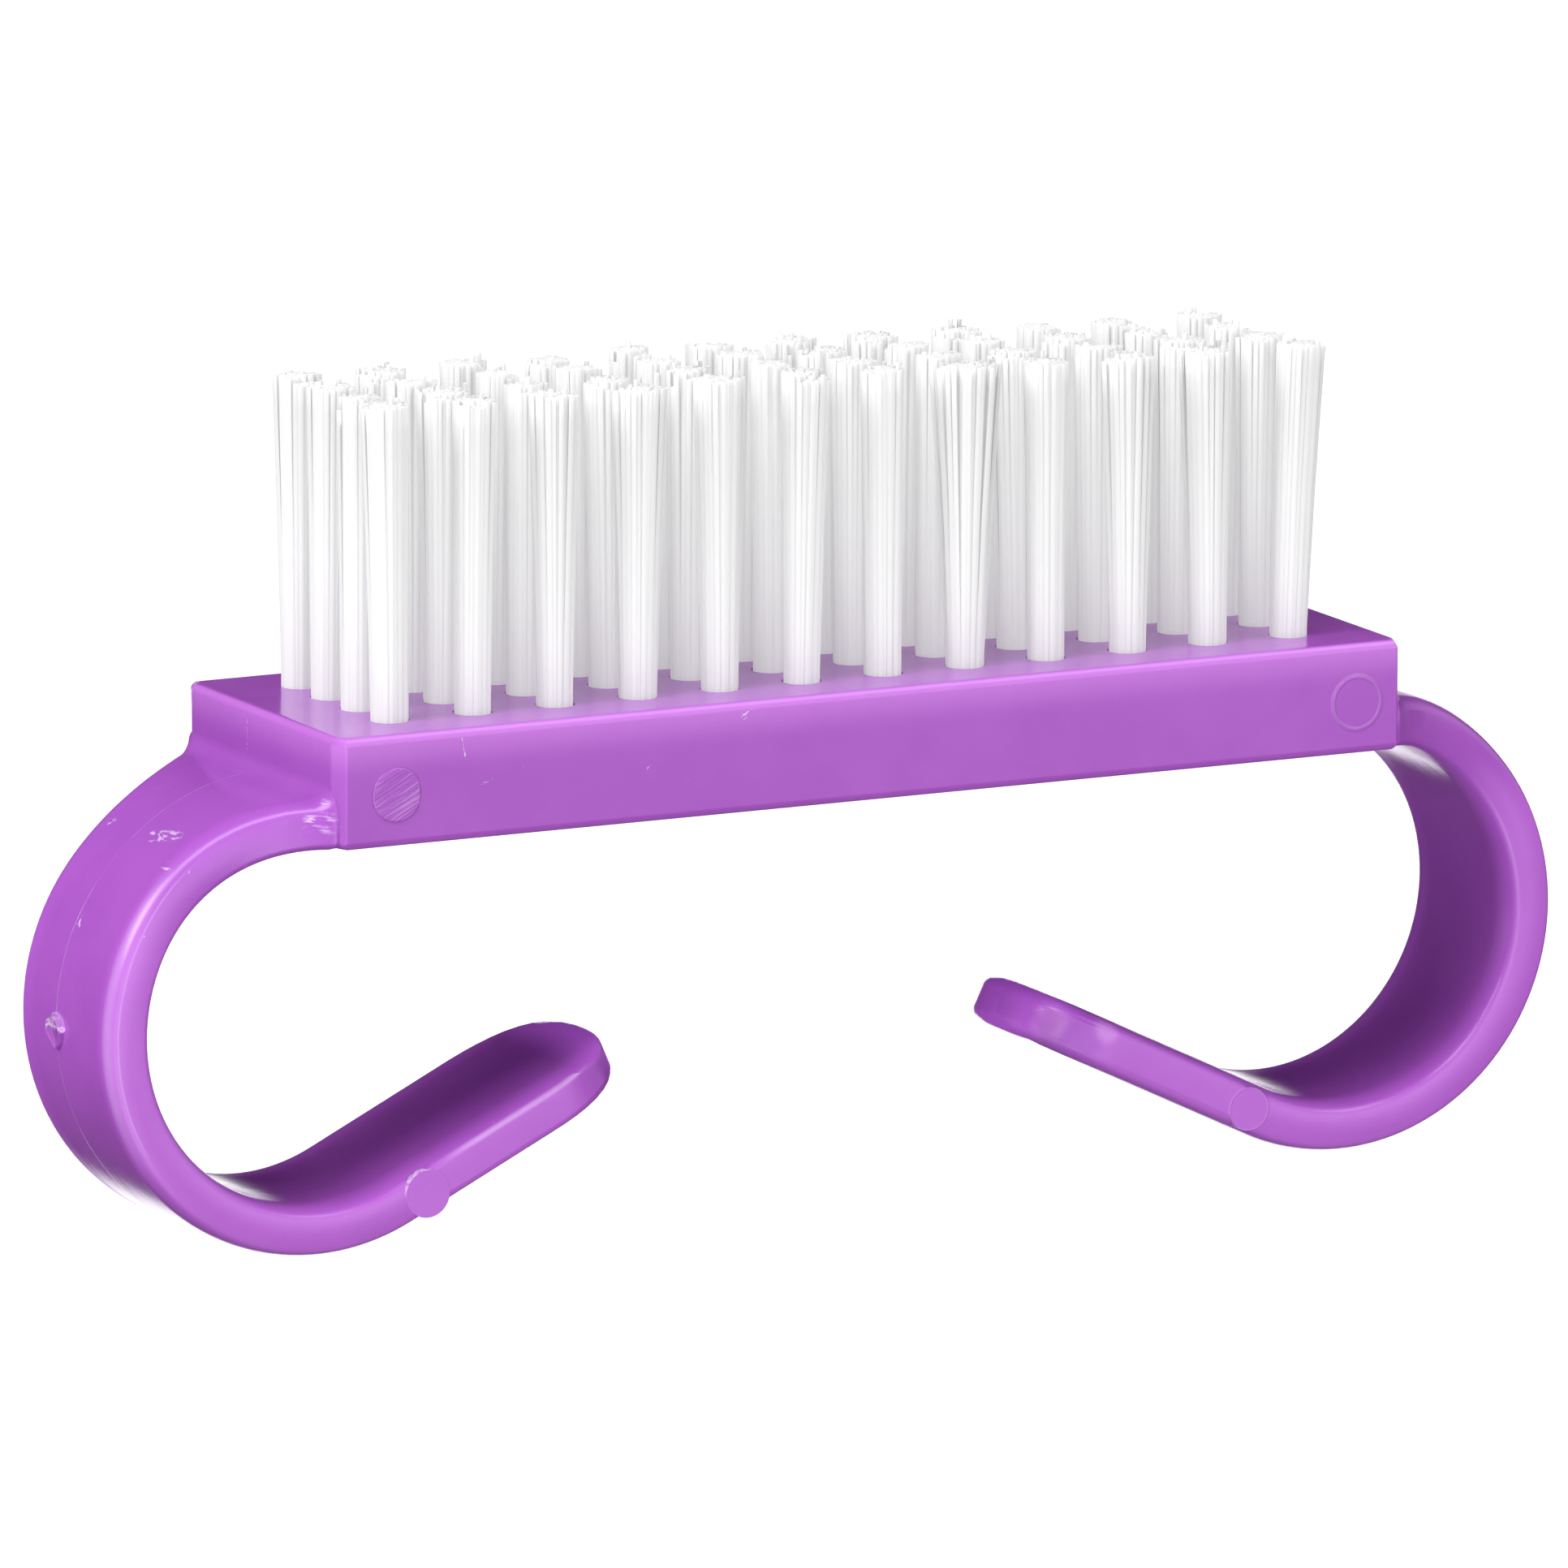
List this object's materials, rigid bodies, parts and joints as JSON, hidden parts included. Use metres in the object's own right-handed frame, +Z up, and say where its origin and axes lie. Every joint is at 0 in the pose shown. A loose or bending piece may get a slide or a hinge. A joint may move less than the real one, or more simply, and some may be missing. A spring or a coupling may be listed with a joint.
{
  "type": "nail brush",
  "caption": "Nail brush: a flat moulded block with rows of straight nylon tufts on top and a finger hook at each end that curls under it.",
  "frame": {"origin": "on the surface that the brush stands on with its hooks, under the middle of the brush", "axes": "+X along the brush, +Y across it and away from the pictured front, +Z up through the bristles"},
  "size_m": [0.0649, 0.0139, 0.0339],
  "materials": {
    "handle_plastic": "glossy, slightly translucent injection-moulded purple plastic",
    "bristle_nylon": "white translucent nylon filament, softly shining",
    "anchor_wire": "flat drawn wire, cut to length"
  },
  "bodies": {
    "root": {"handle": "handle_plastic", "anchors": "anchor_wire", "tuft_r1_c01": "bristle_nylon", "tuft_r1_c02": "bristle_nylon", "tuft_r1_c03": "bristle_nylon", "tuft_r1_c04": "bristle_nylon", "tuft_r1_c05": "bristle_nylon", "tuft_r1_c06": "bristle_nylon", "tuft_r1_c07": "bristle_nylon", "tuft_r1_c08": "bristle_nylon", "tuft_r1_c09": "bristle_nylon", "tuft_r1_c10": "bristle_nylon", "tuft_r1_c11": "bristle_nylon", "tuft_r1_c12": "bristle_nylon", "tuft_r2_c01": "bristle_nylon", "tuft_r2_c02": "bristle_nylon", "tuft_r2_c03": "bristle_nylon", "tuft_r2_c04": "bristle_nylon", "tuft_r2_c05": "bristle_nylon", "tuft_r2_c06": "bristle_nylon", "tuft_r2_c07": "bristle_nylon", "tuft_r2_c08": "bristle_nylon", "tuft_r2_c09": "bristle_nylon", "tuft_r2_c10": "bristle_nylon", "tuft_r2_c11": "bristle_nylon", "tuft_r2_c12": "bristle_nylon", "tuft_r3_c01": "bristle_nylon", "tuft_r3_c02": "bristle_nylon", "tuft_r3_c03": "bristle_nylon", "tuft_r3_c04": "bristle_nylon", "tuft_r3_c05": "bristle_nylon", "tuft_r3_c06": "bristle_nylon", "tuft_r3_c07": "bristle_nylon", "tuft_r3_c08": "bristle_nylon", "tuft_r3_c09": "bristle_nylon", "tuft_r3_c10": "bristle_nylon", "tuft_r3_c11": "bristle_nylon", "tuft_r3_c12": "bristle_nylon", "tuft_r4_c01": "bristle_nylon", "tuft_r4_c02": "bristle_nylon", "tuft_r4_c03": "bristle_nylon", "tuft_r4_c04": "bristle_nylon", "tuft_r4_c05": "bristle_nylon", "tuft_r4_c06": "bristle_nylon", "tuft_r4_c07": "bristle_nylon", "tuft_r4_c08": "bristle_nylon", "tuft_r4_c09": "bristle_nylon", "tuft_r4_c10": "bristle_nylon", "tuft_r4_c11": "bristle_nylon", "tuft_r4_c12": "bristle_nylon"}
  },
  "joints": []
}
